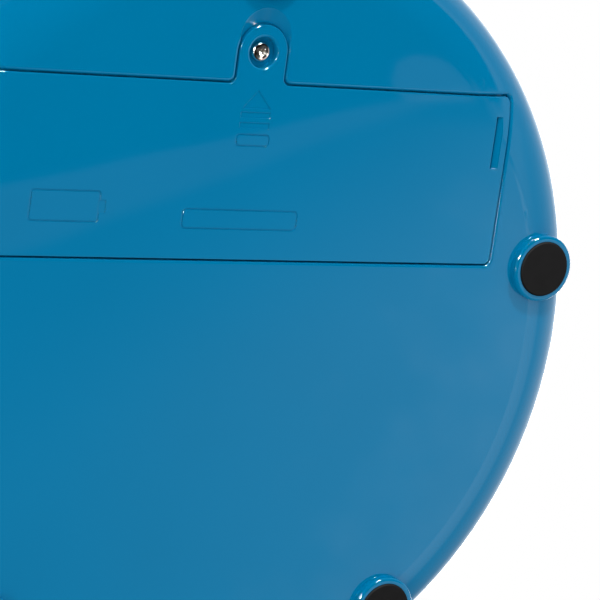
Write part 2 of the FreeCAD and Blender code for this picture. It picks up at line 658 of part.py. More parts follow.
def display_ribbon():
    """Flat flexible cable from the main board up to the display board."""
    y = BOARD_Y + 14.5
    path = [(y, 16.6), (y, 18.5), (y + 0.4, 21.5), (y + 3.5, 25.5), (y + 10.0, 27.3),
            (y + 20.0, 27.6), (y + 25.0, 29.0), (y + 26.0, 32.3)]
    half_w = 9.5
    rail = Part.BSplineCurve()
    rail.interpolate([Vector(0, a, b) for a, b in path])
    other = Part.BSplineCurve()
    other.interpolate([Vector(0, a + 0.28, b - 0.1) for a, b in path])
    low = rail.toShape()
    high = other.toShape()
    ends = [Part.makeLine(low.valueAt(low.FirstParameter), high.valueAt(high.FirstParameter)),
            Part.makeLine(low.valueAt(low.LastParameter), high.valueAt(high.LastParameter))]
    face = Part.Face(Part.Wire(Part.__sortEdges__([low, high] + ends)))
    return [moved(face.extrude(Vector(2 * half_w, 0, 0)), 8.0 - half_w, 0)]


def battery_leads():
    leads = []
    z_end = BOARD_Z0 + BOARD_T + 1.1
    for x in (-30.0, -24.0):
        leads.append(wire_through([(x, TRAY_Y1 + 0.9, 22.0), (x, TRAY_Y1 + 8.0, 22.5),
                                   (x - 1.0, -10.0, 18.5), (x, BOARD_Y - 17.5, z_end)], 0.8))
    return leads


# ---------------------------------------------------------------- bay controls
def control_board():
    board = rounded_box(-98.0, -60.5, -70.0, -44.0, 17.0, 18.6, 1.5)
    return [board]


def control_bracket():
    """Frame that holds the small control board above the door's left bay."""
    frame = []
    for y0, y1 in ((-74.0, -70.4), (-43.6, -40.0)):
        frame.append(box(-99.0, -59.5, y0, y1, 11.0, 20.0))
    frame.append(box(-99.0, -59.5, -74.0, -40.0, 18.7, 20.2))
    frame.append(box(-102.2, -98.4, -74.0, -40.0, 18.7, 20.2))
    frame.append(box(-104.8, -102.0, -74.0, -40.0, 10.1, 20.2))
    return [fused(frame)]


def unit_switch_body():
    case = box(-90.0, -78.0, -61.0, -53.0, 13.2, 17.0)
    track = box(-88.4, -79.6, -58.9, -55.1, 12.0, 15.6)
    return [case.cut(track)]


def unit_switch_slider():
    foot = box(-88.2, -83.4, -58.7, -55.3, 13.5, 15.4)
    knob = box(-87.0, -84.6, -58.2, -55.8, 10.9, 13.8)
    tip = [e for e in knob.Edges if abs(e.BoundBox.ZMax - 10.9) < 1e-6]
    return [foot.fuse(knob.makeFillet(0.4, tip)).removeSplitter()]


def reset_switch_body():
    case = box(-72.0, -65.0, -60.5, -53.5, 13.4, 17.0)
    return [case.cut([rod(2.05, 12.0, 16.2, -68.5, -57.0)])]


def reset_button():
    cap = rod(2.0, 11.4, 15.6, -68.5, -57.0)
    face = [e for e in cap.Edges if abs(e.BoundBox.ZMax - 11.4) < 1e-6]
    return [cap.makeFillet(0.4, face)]


# ---------------------------------------------------------------- platform
def platform():
    under_r = PLATFORM_R - SKIRT_T
    skirt_z = RIM_TOP_Z + FLOAT_GAP
    body = rod(PLATFORM_R, skirt_z, TOP_Z)
    rim = [e for e in body.Edges if abs(e.BoundBox.ZMin - TOP_Z) < 1e-6]
    body = body.makeFillet(6.5, rim)
    inside = rod(under_r, skirt_z - 1.0, PLATFORM_UNDER_Z)
    crown = [e for e in inside.Edges if abs(e.BoundBox.ZMin - PLATFORM_UNDER_Z) < 1e-6]
    cap = body.cut(inside.makeFillet(4.4, crown))
    ribs = []
    for radius in (60.0, 96.0, 128.0):
        ribs.append(tube(radius, radius - 1.6, 33.4, PLATFORM_UNDER_Z + 0.5))
    for i in range(12):
        ribs.append(turned(box(20.0, 146.0, -0.8, 0.8, 33.4, PLATFORM_UNDER_Z + 0.5), 15.0 + 30.0 * i))
    hooks = []
    for degrees in HOOK_ANGLES:
        leg = box(137.6, 139.8, -4.0, 4.0, 17.4, PLATFORM_UNDER_Z + 0.5)
        barb = prism([(139.0, -4.0), (143.2, -4.0), (143.2, 4.0), (139.0, 4.0)], 17.4, 20.0)
        lead = barb.makeChamfer(1.8, [e for e in barb.Edges
                                      if e.BoundBox.XMin > 143.0 and e.BoundBox.ZMax < 17.5])
        hooks.append(turned(fused([leg, lead]), degrees))
    posts = []
    for x, y in CELL_SPOTS:
        posts.append(rod(4.6, STUD_CAP_Z0 + 2.2, PLATFORM_UNDER_Z + 0.5, x, y))
        posts.append(box(x - 9.0, x + 9.0, y - 0.8, y + 0.8, 27.0, PLATFORM_UNDER_Z + 0.5))
        posts.append(box(x - 0.8, x + 0.8, y - 9.0, y + 9.0, 27.0, PLATFORM_UNDER_Z + 0.5))
    bay = box(-54.5, 54.5, 49.0, 126.0, 28.0, PLATFORM_UNDER_Z)
    ribs = [r.cut(bay) for r in ribs]
    holders = []
    for x, y in carrier_posts():
        holders.append(rod(3.0, 36.0, PLATFORM_UNDER_Z + 0.5, x, y))
    whole = fused([cap] + [s for r in ribs for s in r.Solids] + hooks + posts + holders)
    recess = rod(MAT_R, MAT_FLOOR_Z, TOP_Z + 1.0)
    cutout = rounded_box(-BEZEL_HALF_X + 3.0, BEZEL_HALF_X - 3.0, BEZEL_Y0 + 3.0, BEZEL_Y1 - 3.0,
                         30.0, TOP_Z + 1.0, 4.0)
    holes = [rod(1.25, 30.0, PLATFORM_UNDER_Z + 0.4, x, y) for x, y in carrier_posts()]
    return [whole.cut([recess, cutout] + holes)]


def carrier_posts():
    return [(sx * 49.0, y) for sx in (-1, 1) for y in (62.0, 113.0)]


def anti_slip_mat():
    sheet = rod(MAT_R - 0.2, MAT_FLOOR_Z, TOP_Z + 0.3)
    window = rounded_box(-BEZEL_HALF_X - 0.2, BEZEL_HALF_X + 0.2, BEZEL_Y0 - 0.2, BEZEL_Y1 + 0.2,
                         MAT_FLOOR_Z - 1.0, TOP_Z + 2.0, 6.2)
    grooves = []
    for i in range(-8, 9):
        x = 14.0 * i
        half = math.sqrt(max(0.0, (MAT_R - 7.0) ** 2 - x * x))
        y1 = BEZEL_Y0 - 6.0 if abs(x) < BEZEL_HALF_X + 6.0 else half
        grooves.append(box(x - 1.0, x + 1.0, -half, min(y1, half), TOP_Z - 0.3, TOP_Z + 1.0))
    return [sheet.cut([window] + grooves)]


def display_bezel():
    flange = rounded_box(-BEZEL_HALF_X, BEZEL_HALF_X, BEZEL_Y0, BEZEL_Y1, MAT_FLOOR_Z, TOP_Z + 0.6, 6.0)
    top = [e for e in flange.Edges if abs(e.BoundBox.ZMin - TOP_Z - 0.6) < 1e-6]
    flange = flange.makeFillet(0.5, top)
    sleeve = rounded_box(-BEZEL_HALF_X + 3.3, BEZEL_HALF_X - 3.3, BEZEL_Y0 + 3.3, BEZEL_Y1 - 3.3,
                         37.6, MAT_FLOOR_Z + 0.5, 4.0)
    frame = flange.fuse(sleeve)
    window = rounded_box(-WINDOW_HALF_X, WINDOW_HALF_X, WINDOW_Y0, WINDOW_Y1, 30.0, TOP_Z + 2.0, 2.0)
    lens_seat = rounded_box(-WINDOW_HALF_X - 2.0, WINDOW_HALF_X + 2.0, WINDOW_Y0 - 2.0, WINDOW_Y1 + 2.0,
                            TOP_Z - 1.0, TOP_Z + 2.0, 3.0)
    lcd_room = box(-WINDOW_HALF_X - 1.6, WINDOW_HALF_X + 1.6, WINDOW_Y0 - 1.6, WINDOW_Y1 + 1.6, 30.0, 39.6)
    key_hole = rounded_box(-KEY_HALF_X, KEY_HALF_X, KEY_Y - KEY_HALF_Y, KEY_Y + KEY_HALF_Y,
                           30.0, TOP_Z + 2.0, 4.6)
    return [frame.cut([window, lens_seat, lcd_room, key_hole]).removeSplitter()]


def display_lens():
    pane = rounded_box(-WINDOW_HALF_X - 1.8, WINDOW_HALF_X + 1.8, WINDOW_Y0 - 1.8, WINDOW_Y1 + 1.8,
                       TOP_Z - 0.9, TOP_Z + 0.5, 2.8)
    return [pane]


def lcd_panel():
    glass = box(-WINDOW_HALF_X - 1.2, WINDOW_HALF_X + 1.2, WINDOW_Y0 - 1.2, WINDOW_Y1 + 1.2, 37.2, 39.4)
    return [glass]


def zebra_strip():
    return [box(-32.0, 32.0, y, y + 2.4, 34.7, 37.1) for y in (WINDOW_Y0 - 0.8,)]


def display_board():
    board = rounded_box(-42.0, 42.0, 57.5, 117.5, 33.0, 34.6, 2.0)
    return [board]


def display_carrier():
    """Frame screwed under the platform that clamps the display board and the glass."""
    plate = rounded_box(-53.5, 53.5, 56.0, 119.0, 31.0, 36.0, 3.0)
    room = rounded_box(-42.4, 42.4, 57.1, 117.9, 32.9, 37.0, 2.2)
    window = rounded_box(-34.0, 34.0, 62.0, 112.0, 30.0, 37.0, 3.0)
    cable = box(-3.0, 20.0, 56.8, 62.5, 30.0, 33.5)
    holes = [rod(1.6, 30.0, 37.0, x, y) for x, y in carrier_posts()]
    heads = [rod(3.0, 30.0, 33.0, x, y) for x, y in carrier_posts()]
    return [plate.cut([room, window, cable] + holes + heads)]


def carrier_screws():
    screws = []
    for x, y in carrier_posts():
        flipped = screw_at(x, y, 0.0, 2.7, 1.2, 5.0)
        flipped.rotate(Vector(x, y, 0.0), Vector(1, 0, 0), 180.0)
        screws.append(moved(flipped, 0, 0, 33.0))
    return screws


def power_switch():
    case = box(-3.0, 3.0, KEY_Y - 3.0, KEY_Y + 3.0, 34.6, 37.4)
    return [case.cut(rod(1.8, 36.2, 38.0, 0, KEY_Y))]


def power_key():
    cap = rounded_box(-KEY_HALF_X + 0.4, KEY_HALF_X - 0.4, KEY_Y - KEY_HALF_Y + 0.4,
                      KEY_Y + KEY_HALF_Y - 0.4, 38.4, TOP_Z + 1.0, 4.1)
    top = [e for e in cap.Edges if abs(e.BoundBox.ZMin - TOP_Z - 1.0) < 1e-6]
    cap = cap.makeFillet(0.6, top)
    flange = rounded_box(-KEY_HALF_X - 1.2, KEY_HALF_X + 1.2, KEY_Y - KEY_HALF_Y - 1.2,
                         KEY_Y + KEY_HALF_Y + 1.2, 36.4, 37.5, 5.0)
    neck = rounded_box(-KEY_HALF_X + 0.8, KEY_HALF_X - 0.8, KEY_Y - KEY_HALF_Y + 0.8,
                       KEY_Y + KEY_HALF_Y - 0.8, 37.5, 39.0, 3.6)
    key = fused([cap, flange, neck])
    hollow = box(-4.0, 4.0, KEY_Y - 4.0, KEY_Y + 4.0, 36.0, 38.8)
    nib = rod(1.6, 37.5, 39.5, 0, KEY_Y)
    return [key.cut(hollow).fuse(nib).removeSplitter()]


def load_stud_caps():
    """Rubber caps on the platform's posts, resting on the cells' buttons."""
    caps = []
    for x, y in CELL_SPOTS:
        cap = rod(5.6, STUD_CAP_Z0, STUD_CAP_Z0 + 4.2, x, y)
        caps.append(cap.cut(rod(4.62, STUD_CAP_Z0 + 2.2, 30.0, x, y)))
    return caps


NODES = {
    "base_shell": base_shell,
    "foot_pads": foot_pads,
    "door_screw_insert": door_screw_insert,
    "battery_door": battery_door,
    "battery_foam": battery_foam,
    "door_screw": door_screw,
    "screw_retaining_washer": screw_retaining_washer,
    "battery_tray": battery_tray,
    "battery_cells": battery_cells,
    "battery_springs": battery_springs,
    "battery_contacts": battery_contacts,
    "tray_screws": tray_screws,
    "load_cell_brackets": load_cell_brackets,
    "load_cells": load_cells,
    "strain_gauges": strain_gauges,
    "load_cell_screws": load_cell_screws,
    "load_cell_wires": load_cell_wires,
    "main_board": main_board,
    "main_chip": main_chip,
    "board_components": board_components,
    "ribbon_connector": ribbon_connector,
    "board_screws": board_screws,
    "display_ribbon": display_ribbon,
    "battery_leads": battery_leads,
    "control_board": control_board,
    "control_bracket": control_bracket,
    "unit_switch_body": unit_switch_body,
    "unit_switch_slider": unit_switch_slider,
    "reset_switch_body": reset_switch_body,
    "reset_button": reset_button,
    "platform": platform,
    "anti_slip_mat": anti_slip_mat,
    "display_bezel": display_bezel,
    "display_lens": display_lens,
    "lcd_panel": lcd_panel,
    "zebra_strip": zebra_strip,
    "display_board": display_board,
    "display_carrier": display_carrier,
    "carrier_screws": carrier_screws,
    "power_switch": power_switch,
    "power_key": power_key,
    "load_stud_caps": load_stud_caps,
}


def main():
    os.makedirs("parts", exist_ok=True)
    for name, make in NODES.items():
        made = make()
        pieces = made if isinstance(made, list) else [made]
        solids = [solid for piece in pieces for solid in piece.Solids]
        shape = solids[0] if len(solids) == 1 else Part.makeCompound(solids)
        shape.translate(Vector(0, 0, -SET_DOWN))
        shape.exportStep("parts/" + name + ".step")
        limits = shape.BoundBox
        print(name, len(solids), "solids", shape.isValid(), round(shape.Volume, 1),
              "x", round(limits.XMin, 1), round(limits.XMax, 1),
              "y", round(limits.YMin, 1), round(limits.YMax, 1),
              "z", round(limits.ZMin, 1), round(limits.ZMax, 1))


main()
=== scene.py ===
import json
import math

import bpy
from mathutils import Matrix, Quaternion, Vector


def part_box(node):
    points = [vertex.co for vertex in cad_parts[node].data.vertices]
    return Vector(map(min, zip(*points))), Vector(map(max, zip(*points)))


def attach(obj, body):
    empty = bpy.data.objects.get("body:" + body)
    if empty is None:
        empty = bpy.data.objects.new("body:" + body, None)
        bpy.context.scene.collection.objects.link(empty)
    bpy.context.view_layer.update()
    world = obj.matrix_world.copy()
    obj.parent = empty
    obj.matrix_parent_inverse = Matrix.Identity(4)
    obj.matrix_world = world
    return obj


# The scale stands on the floor (z = 0) and the camera looks up at its underside, as in the
# photograph. Metres, in the same frame as the CAD: +Z up, the display on the +Y side.

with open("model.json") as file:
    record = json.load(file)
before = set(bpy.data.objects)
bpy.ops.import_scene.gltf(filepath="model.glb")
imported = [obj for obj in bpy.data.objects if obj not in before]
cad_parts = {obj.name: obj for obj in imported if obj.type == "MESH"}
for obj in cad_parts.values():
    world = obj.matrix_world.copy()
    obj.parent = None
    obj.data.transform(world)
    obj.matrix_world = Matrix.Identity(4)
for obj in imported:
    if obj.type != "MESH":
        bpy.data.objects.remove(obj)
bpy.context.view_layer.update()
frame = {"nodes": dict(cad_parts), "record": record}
NODES = frame["nodes"]

# ---- camera ----
BASE_Z = 0.0038                      # the flat underside's height
LOOK_AT = Vector((0.0278, -0.0133, BASE_Z))
CAMERA_AZIMUTH = -67.74              # degrees round the object
CAMERA_ELEVATION = -56.23            # below the horizon
CAMERA_ROLL = -63.22
CAMERA_DISTANCE = 1.0356
LENS_MM = 177.7
SENSOR_MM = 36.0

# ---- light ----
SOFT_BELOW = 0.78                    # even light on matt surfaces from under the floor's level
SOFT_ABOVE = 0.85                    # and from above it
LAMP_AIM = Vector((0.0, 0.0, 0.02))  # the middle of the body
LOW_LAMP_DISTANCE = 2.2              # of the lamps below the floor's level
GLINT_SIZE = (0.5, 0.35)
FLOOR_REACH = 6.0                    # from the body's middle to each edge of the floor

# ---- what the glossy plastic mirrors: places go from -1 to 1 over the picture ----
STRIP_SLOPE = 0.216                  # strip of light whose upper edge crosses the door
STRIP_EDGE = (-0.603, -0.583)
STRIP_GLOW = 0.19
STREAK_SLOPE = 0.36                  # darker streak under the strip
STREAK_EDGE = (-0.53, -0.47)
STREAK_DIM = 0.3
SHEET_FADE = (-0.55, 0.25)           # sheet that brightens towards the lower right
SHEET_GLOW = (0.08, 0.52)            # at the left and at the right
PATCH_SLANT = 0.45                   # patch above the door, at the right, leaning to the left
PATCH_PLACE = (0.76, 0.70)
PATCH_SIZE = (0.13, 0.11)
PATCH_FOOT = (0.655, 0.67)
PATCH_GLOW = 0.27
BAND_GLOW = 0.22                     # narrow band at the foot of the horizon's glow
HORIZON_GLOW = (0.30, 0.95)          # at its foot and at its top
OVERHEAD_GLOW = 0.7
FAR_SIDE = (0.93, 0.38, 0.0)         # level directions: away from the camera,
FRONT_SIDE = (0.30, -0.95, 0.0)      # away from the display, a little to the right,
DISPLAY_SIDE = (0.0, 1.0, 0.0)       # towards the display
UPWARDS = (0.0, 0.0, 1.0)

# ---- colours (linear) ----
BLUE = (0.0, 0.190, 0.395)
BLACK_RUBBER = (0.0052, 0.0048, 0.0052)
BLACK_PLASTIC = (0.012, 0.012, 0.013)
BLACK_FOAM = (0.02, 0.02, 0.022)
CHARCOAL = (0.035, 0.038, 0.042)
GREEN_BOARD = (0.010, 0.085, 0.030)
GREEN_TRACK = (0.03, 0.16, 0.06)
SILVER = (0.55, 0.56, 0.57)
LIGHT_GREY = (0.62, 0.63, 0.64)
WHITE_NYLON = (0.70, 0.69, 0.66)
NICKEL = (0.80, 0.75, 0.69)
ZINC = (0.55, 0.56, 0.58)
STEEL = (0.48, 0.49, 0.51)
BRASS = (0.62, 0.42, 0.16)
RED_PVC = (0.35, 0.015, 0.012)
FILM = (0.52, 0.36, 0.10)
AMBER = (0.50, 0.20, 0.03)
CLEAR = (0.96, 0.98, 0.98)
LCD_GREEN = (0.36, 0.41, 0.33)
CELL_END = (0.60, 0.60, 0.62)
CELL_BLACK = (0.012, 0.012, 0.014)
CELL_COPPER = (0.55, 0.30, 0.06)
FLOOR_GREY = (0.86, 0.86, 0.86)

# ---- battery wrap, along a cell ----
CELL_Y0 = -0.0842
CELL_Y1 = -0.0304
CELL_STOPS = ((0.0, CELL_END), (0.045, CELL_BLACK), (0.36, CELL_COPPER), (0.64, CELL_BLACK),
              (0.955, CELL_END))

# ---- display digits ----
DIGIT_W = 0.0115
DIGIT_H = 0.0215
STROKE = 0.0025
STROKE_GAP = 0.0004                  # left free at each end of a bar
STROKE_DEPTH = 0.00015
ABOVE_GLASS = 0.00002
ZERO_X = (-0.001, 0.020)             # left edge of each of the two zeros
DOT_X = 0.0157
DOT_HALF = 0.0012


# ---------------------------------------------------------------- material helpers
def new_material(name):
    material = bpy.data.materials.new(name)
    material.use_nodes = True
    tree = material.node_tree
    tree.nodes.clear()
    output = tree.nodes.new("ShaderNodeOutputMaterial")
    shader = tree.nodes.new("ShaderNodeBsdfPrincipled")
    tree.links.new(shader.outputs["BSDF"], output.inputs["Surface"])
    return material, tree, shader


def object_noise(tree, scale, detail=4.0, stretch=(1.0, 1.0, 1.0)):
    """Noise in object space, its scale in features per metre."""
    coordinates = tree.nodes.new("ShaderNodeTexCoord")
    mapping = tree.nodes.new("ShaderNodeMapping")
    mapping.inputs["Scale"].default_value = stretch
    noise = tree.nodes.new("ShaderNodeTexNoise")
    noise.inputs["Scale"].default_value = scale
    noise.inputs["Detail"].default_value = detail
    tree.links.new(coordinates.outputs["Object"], mapping.inputs["Vector"])
    tree.links.new(mapping.outputs["Vector"], noise.inputs["Vector"])
    return noise.outputs["Fac"]


def vary_colour(tree, shader, colour, factor, spread):
    """Colour that wanders a little, darker to lighter, with a noise."""
    ramp = tree.nodes.new("ShaderNodeValToRGB")
    low = [c * (1.0 - spread) for c in colour]
    high = [c * (1.0 + spread) for c in colour]
    ramp.color_ramp.elements[0].position = 0.3
    ramp.color_ramp.elements[1].position = 0.7
    ramp.color_ramp.elements[0].color = (*low, 1.0)
    ramp.color_ramp.elements[1].color = (*high, 1.0)
    tree.links.new(factor, ramp.inputs["Fac"])
    tree.links.new(ramp.outputs["Color"], shader.inputs["Base Color"])


def vary_roughness(tree, shader, factor, low, high):
    span = tree.nodes.new("ShaderNodeMapRange")
    span.inputs["To Min"].default_value = low
    span.inputs["To Max"].default_value = high
    tree.links.new(factor, span.inputs["Value"])
    tree.links.new(span.outputs["Result"], shader.inputs["Roughness"])


def add_bumps(tree, shader, layers, edge_radius=0.0):
    """Stacks bumps, each (height, distance in metres), over softly rounded edges."""
    normal = None
    if edge_radius > 0.0:
        bevel = tree.nodes.new("ShaderNodeBevel")
        bevel.samples = 6
        bevel.inputs["Radius"].default_value = edge_radius
        normal = bevel.outputs["Normal"]
    for height, distance in layers:
        bump = tree.nodes.new("ShaderNodeBump")
        bump.inputs["Strength"].default_value = 1.0
        bump.inputs["Distance"].default_value = distance
        tree.links.new(height, bump.inputs["Height"])
        if normal is not None:
            tree.links.new(normal, bump.inputs["Normal"])
        normal = bump.outputs["Normal"]
    if normal is not None:
        tree.links.new(normal, shader.inputs["Normal"])


def gloss_plastic(name, colour):
    """Moulded glossy ABS: faint flow clouds in the colour, slightly uneven gloss, soft edges."""
    material, tree, shader = new_material(name)
    clouds = object_noise(tree, scale=14.0, detail=3.0)
    peel = object_noise(tree, scale=900.0, detail=2.0)
    sink = object_noise(tree, scale=9.0, detail=1.5, stretch=(1.0, 0.6, 1.0))
    vary_colour(tree, shader, colour, clouds, spread=0.02)
    vary_roughness(tree, shader, clouds, low=0.012, high=0.032)
    shader.inputs["IOR"].default_value = 1.5
    add_bumps(tree, shader, [(sink, 0.00012), (peel, 0.0000004)], edge_radius=0.0002)
    return material


def matte_plastic(name, colour, grain=1400.0, roughness=0.5):
    """Spark-eroded, fine-grained moulded plastic."""
    material, tree, shader = new_material(name)
    clouds = object_noise(tree, scale=60.0, detail=3.0)
    texture = object_noise(tree, scale=grain, detail=3.0)
    vary_colour(tree, shader, colour, clouds, spread=0.06)
    vary_roughness(tree, shader, texture, low=roughness - 0.06, high=roughness + 0.08)
    add_bumps(tree, shader, [(texture, 0.00002)], edge_radius=0.0003)
    return material


def rubber(name, colour, grain=2200.0):
    """Dull moulded rubber with a fine dusty bloom."""
    material, tree, shader = new_material(name)
    bloom = object_noise(tree, scale=240.0, detail=5.0)
    texture = object_noise(tree, scale=grain, detail=4.0)
    vary_colour(tree, shader, colour, bloom, spread=0.16)
    vary_roughness(tree, shader, texture, low=0.62, high=0.82)
    shader.inputs["IOR"].default_value = 1.45
    shader.inputs["Specular IOR Level"].default_value = 0.12
    add_bumps(tree, shader, [(texture, 0.00003)], edge_radius=0.0003)
    return material


def metal(name, colour, roughness, brushed=(1.0, 1.0, 1.0)):
    """Plated or rolled metal with fine marks, drawn out along the axis that brushed lowers."""
    material, tree, shader = new_material(name)
    stain = object_noise(tree, scale=260.0, detail=4.0)
    marks = object_noise(tree, scale=900.0, detail=5.0, stretch=brushed)
    vary_colour(tree, shader, colour, stain, spread=0.12)
    vary_roughness(tree, shader, marks, low=roughness * 0.75, high=roughness * 1.35)
    shader.inputs["Metallic"].default_value = 1.0
    add_bumps(tree, shader, [(marks, 0.000015)], edge_radius=0.00015)
    return material


def circuit_board(name):
    """Solder-masked board: fine copper tracks under a green coat."""
    material, tree, shader = new_material(name)
    coordinates = tree.nodes.new("ShaderNodeTexCoord")
    tracks = tree.nodes.new("ShaderNodeTexVoronoi")
    tracks.distance = "MANHATTAN"
    tracks.feature = "F1"
    tracks.inputs["Scale"].default_value = 260.0
    ramp = tree.nodes.new("ShaderNodeValToRGB")
    ramp.color_ramp.elements[0].position = 0.46
    ramp.color_ramp.elements[1].position = 0.50
    ramp.color_ramp.elements[0].color = (*GREEN_BOARD, 1.0)
    ramp.color_ramp.elements[1].color = (*GREEN_TRACK, 1.0)
    tree.links.new(coordinates.outputs["Object"], tracks.inputs["Vector"])
    tree.links.new(tracks.outputs["Distance"], ramp.inputs["Fac"])
    tree.links.new(ramp.outputs["Color"], shader.inputs["Base Color"])
    shader.inputs["Roughness"].default_value = 0.32
    add_bumps(tree, shader, [(tracks.outputs["Distance"], 0.00003)], edge_radius=0.0002)
    return material


def foam(name, colour):
    """Closed-cell foam: small round pores."""
    material, tree, shader = new_material(name)
    coordinates = tree.nodes.new("ShaderNodeTexCoord")
    pores = tree.nodes.new("ShaderNodeTexVoronoi")
    pores.inputs["Scale"].default_value = 900.0
    tree.links.new(coordinates.outputs["Object"], pores.inputs["Vector"])
    vary_colour(tree, shader, colour, pores.outputs["Distance"], spread=0.35)
    shader.inputs["Roughness"].default_value = 0.9
    add_bumps(tree, shader, [(pores.outputs["Distance"], 0.00025)])
    return material


def battery_wrap(name):
    """Film on a cell: black, with a copper band round its middle and bare metal at its ends."""
    material, tree, shader = new_material(name)
    coordinates = tree.nodes.new("ShaderNodeTexCoord")
    split = tree.nodes.new("ShaderNodeSeparateXYZ")
    span = tree.nodes.new("ShaderNodeMapRange")
    span.inputs["From Min"].default_value = CELL_Y0
    span.inputs["From Max"].default_value = CELL_Y1
    ramp = tree.nodes.new("ShaderNodeValToRGB")
    ramp.color_ramp.interpolation = "CONSTANT"
    while len(ramp.color_ramp.elements) < len(CELL_STOPS):
        ramp.color_ramp.elements.new(0.5)
    for element, (position, colour) in zip(ramp.color_ramp.elements, CELL_STOPS):
        element.position = position
        element.color = (*colour, 1.0)
    scuffs = object_noise(tree, scale=500.0, detail=5.0)
    tree.links.new(coordinates.outputs["Object"], split.inputs["Vector"])
    tree.links.new(split.outputs["Y"], span.inputs["Value"])
    tree.links.new(span.outputs["Result"], ramp.inputs["Fac"])
    tree.links.new(ramp.outputs["Color"], shader.inputs["Base Color"])
    vary_roughness(tree, shader, scuffs, low=0.2, high=0.4)
    shader.inputs["Metallic"].default_value = 0.4
    add_bumps(tree, shader, [(scuffs, 0.00001)], edge_radius=0.0002)
    return material


def clear_plastic(name, tint):
    """Clear acrylic with faint smears in its gloss."""
    material, tree, shader = new_material(name)
    smears = object_noise(tree, scale=30.0, detail=4.0)
    vary_colour(tree, shader, tint, smears, spread=0.02)
    vary_roughness(tree, shader, smears, low=0.02, high=0.07)
    shader.inputs["Transmission Weight"].default_value = 1.0
    shader.inputs["IOR"].default_value = 1.49
    return material


def lcd_glass(name, colour):
    """Reflective display glass with a faint grain."""
    material, tree, shader = new_material(name)
    grain = object_noise(tree, scale=1800.0, detail=3.0)
    vary_colour(tree, shader, colour, grain, spread=0.05)
    vary_roughness(tree, shader, grain, low=0.25, high=0.38)
    return material


# ---------------------------------------------------------------- materials by record slot
def make_materials():
    blue = gloss_plastic("blue_plastic", BLUE)
    return {
        "shell_blue": blue,
        "platform_blue": blue,
        "pad_rubber": rubber("pad_rubber", BLACK_RUBBER),
        "mat_rubber": rubber("mat_rubber", CHARCOAL, grain=1500.0),
        "black_plastic": matte_plastic("black_plastic", BLACK_PLASTIC),
        "white_plastic": matte_plastic("white_plastic", WHITE_NYLON),
        "brass": metal("brass", BRASS, roughness=0.3),
        "nickel_screw": metal("nickel_screw", NICKEL, roughness=0.11),
        "zinc_screw": metal("zinc_screw", ZINC, roughness=0.35),
        "spring_steel": metal("spring_steel", STEEL, roughness=0.25),
        "cell_steel": metal("cell_steel", STEEL, roughness=0.38, brushed=(1.0, 0.06, 1.0)),
        "gauge_film": matte_plastic("gauge_film", AMBER, grain=2400.0, roughness=0.35),
        "foam": foam("foam", BLACK_FOAM),
        "battery_can": battery_wrap("battery_can"),
        "circuit_board": circuit_board("circuit_board"),
        "wire_cover": matte_plastic("wire_cover", RED_PVC, grain=1800.0, roughness=0.38),
        "ribbon_film": matte_plastic("ribbon_film", FILM, grain=1200.0, roughness=0.3),
        "bezel_plastic": matte_plastic("bezel_plastic", SILVER, grain=2600.0, roughness=0.3),
        "clear_lens": clear_plastic("clear_lens", CLEAR),
        "lcd_glass": lcd_glass("lcd_glass", LCD_GREEN),
        "key_plastic": matte_plastic("key_plastic", LIGHT_GREY, grain=1600.0, roughness=0.35),
    }


def dress_nodes(materials):
    """Gives every node of the frame the material that the record names."""
    for entry in frame["record"]["subparts"]:
        node = NODES[entry["node"]]
        node.data.materials.clear()
        node.data.materials.append(materials[entry["material_slot"]])


# ---------------------------------------------------------------- display digits
def segment_bar(x0, y0, x1, y1, z):
    """Outline of one pointed bar of a seven-segment digit."""
    start, end = Vector((x0, y0)), Vector((x1, y1))
    along = (end - start).normalized()
    side = Vector((-along.y, along.x)) * STROKE / 2.0
    a, b = start + along * STROKE_GAP, end - along * STROKE_GAP
    inner_a, inner_b = a + along * STROKE / 2.0, b - along * STROKE / 2.0
    corners = [a, inner_a + side, inner_b + side, b, inner_b - side, inner_a - side]
    return [(c.x, c.y, z) for c in corners]


def zero_bars(x, y, z):
    """Outlines of a seven-segment zero's six bars, from its lower left corner."""
    w, h = DIGIT_W, DIGIT_H
    ends = ((0, h, w, h), (w, h / 2, w, h), (w, 0, w, h / 2),
            (0, 0, w, 0), (0, 0, 0, h / 2), (0, h / 2, 0, h))
    return [segment_bar(x + x0, y + y0, x + x1, y + y1, z) for x0, y0, x1, y1 in ends]


def dot_outline(y, z):
    """The decimal point between the zeros, a small square round its middle."""
    left, right, bottom, top = DOT_X - DOT_HALF, DOT_X + DOT_HALF, y - DOT_HALF, y + DOT_HALF
    return [(left, bottom, z), (right, bottom, z), (right, top, z), (left, top, z)]


def thicken(outlines, depth):
    """Vertices and faces of a solid plate over each outline."""
    vertices, faces = [], []
    for outline in outlines:
        first, count = len(vertices), len(outline)
        vertices += outline
        vertices += [(x, y, z + depth) for x, y, z in outline]
        faces.append([first + count + i for i in range(count)])
        faces.append([first + i for i in reversed(range(count))])
        for i in range(count):
            j = (i + 1) % count
            faces.append([first + i, first + j, first + count + j, first + count + i])
    return vertices, faces


def display_digits(materials):
    """Dark segments showing 0.0 on the display glass."""
    low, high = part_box("lcd_panel")
    z = high.z + ABOVE_GLASS
    bottom_y = (low.y + high.y) / 2.0 - DIGIT_H / 2.0
    outlines = []
    for x in ZERO_X:
        outlines += zero_bars(x, bottom_y, z)
    outlines.append(dot_outline(bottom_y, z))
    vertices, faces = thicken(outlines, STROKE_DEPTH)
    mesh = bpy.data.meshes.new("display_digits")
    mesh.from_pydata(vertices, [], faces)
    digits = bpy.data.objects.new("display_digits", mesh)
    bpy.context.scene.collection.objects.link(digits)
    mesh.materials.append(materials["black_plastic"])
    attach(digits, "platform_top")


